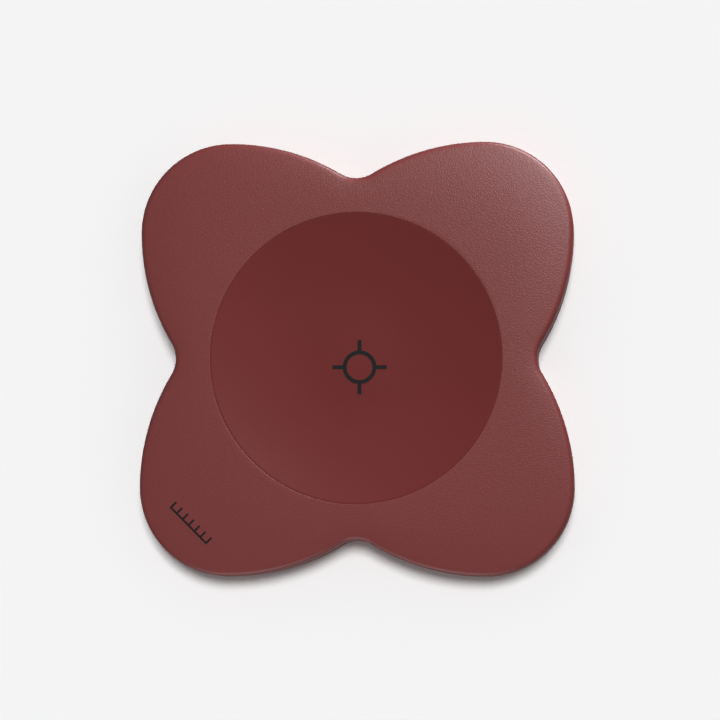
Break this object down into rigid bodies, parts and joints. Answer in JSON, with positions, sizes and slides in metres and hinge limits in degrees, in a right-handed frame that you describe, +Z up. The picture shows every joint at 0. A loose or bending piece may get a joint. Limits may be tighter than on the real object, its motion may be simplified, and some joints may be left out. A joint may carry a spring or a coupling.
{
  "type": "balance pad",
  "caption": "Clover-shaped foam balance pad with rounded lobes, a grained skin, a smooth round dish in the middle for the foot and an anti-slip underside.",
  "frame": {"origin": "middle of the underside, on the floor", "axes": "+Z up through the middle of the dish; +X and +Y point at two neighbouring notches between lobes, and the printed scale is on the lobe at -X -Y"},
  "size_m": [0.4, 0.4, 0.0501],
  "materials": {
    "grained_skin": "brick red soft moulded skin with a fine leather grain, matt with a pale sheen",
    "smooth_skin": "darker brick red soft moulded skin, smooth, satin",
    "soft_foam": "dull pink-red open foam",
    "firm_foam": "dark grey-brown closed-cell foam",
    "base_rubber": "near-black anti-slip rubber, matt, with small nubs",
    "black_print": "black printed film, satin"
  },
  "bodies": {
    "root": {"outer_skin": "grained_skin", "centre_disc": "smooth_skin", "comfort_foam": "soft_foam", "support_foam": "firm_foam", "base_sheet": "base_rubber", "centre_mark": "black_print", "lobe_scale": "black_print"}
  },
  "joints": []
}
